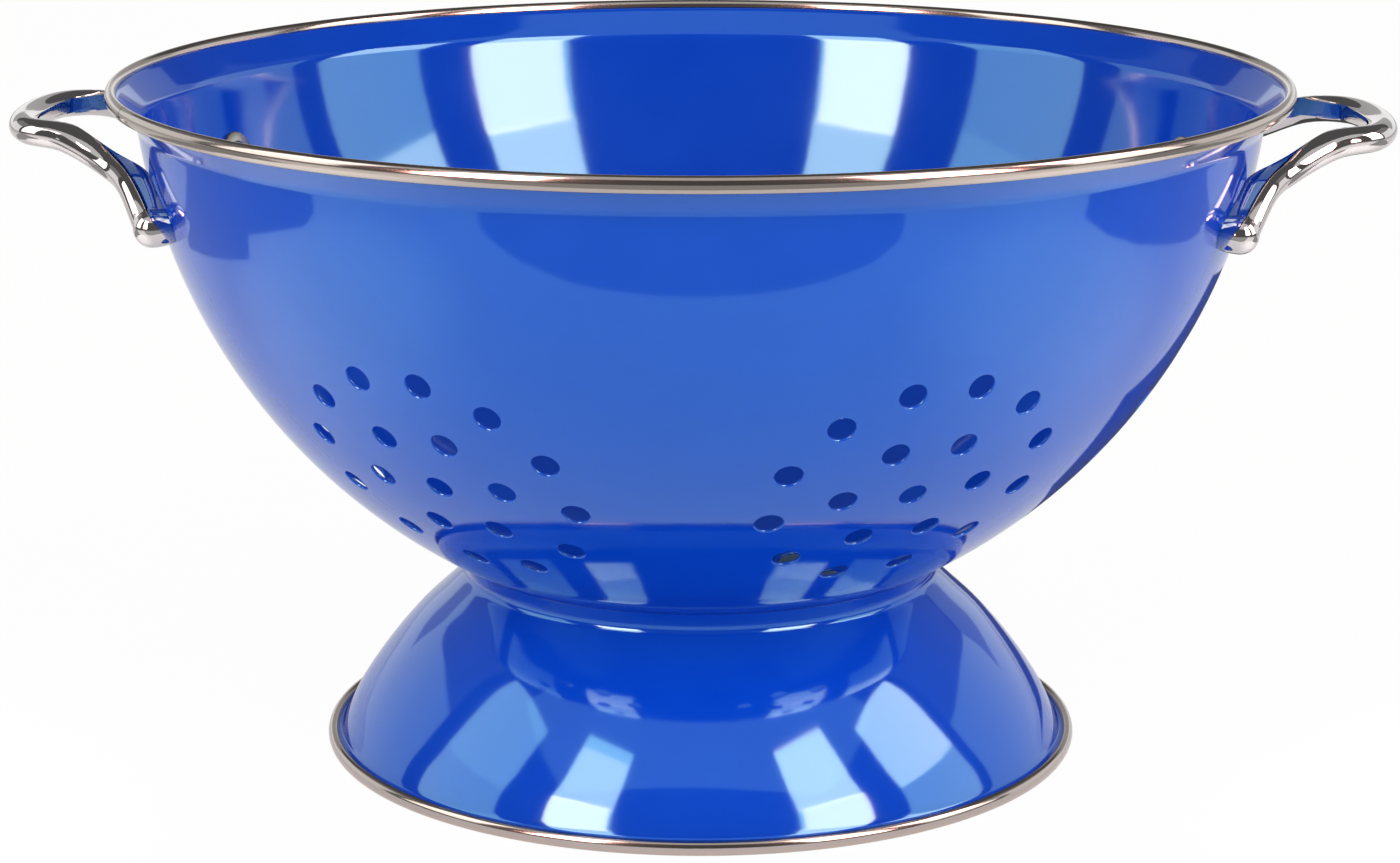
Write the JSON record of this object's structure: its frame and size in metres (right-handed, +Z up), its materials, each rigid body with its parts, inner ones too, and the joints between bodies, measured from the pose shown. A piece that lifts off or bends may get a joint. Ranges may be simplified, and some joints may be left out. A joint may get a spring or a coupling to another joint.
{
  "type": "footed colander",
  "caption": "Footed colander: enamelled steel bowl and foot, clusters of drain holes, steel-bound rims, two riveted loop handles",
  "frame": {"origin": "on the table, below the middle of the bowl", "axes": "+X from the left handle to the right one, +Y from the front of the bowl to the back, +Z up through the middle of the bowl"},
  "size_m": [0.3304, 0.28, 0.1628],
  "materials": {
    "enamel": "gloss",
    "band_steel": "satin",
    "polished_handle": "polished",
    "rivet_steel": "polished"
  },
  "bodies": {
    "root": {"bowl": "enamel", "foot": "enamel", "rim_band": "band_steel", "foot_band": "band_steel", "handle_left": "polished_handle", "handle_right": "polished_handle", "rivet_left_front": "rivet_steel", "rivet_left_rear": "rivet_steel", "rivet_right_front": "rivet_steel", "rivet_right_rear": "rivet_steel", "washer_left_front": "rivet_steel", "washer_left_rear": "rivet_steel", "washer_right_front": "rivet_steel", "washer_right_rear": "rivet_steel"}
  },
  "joints": []
}
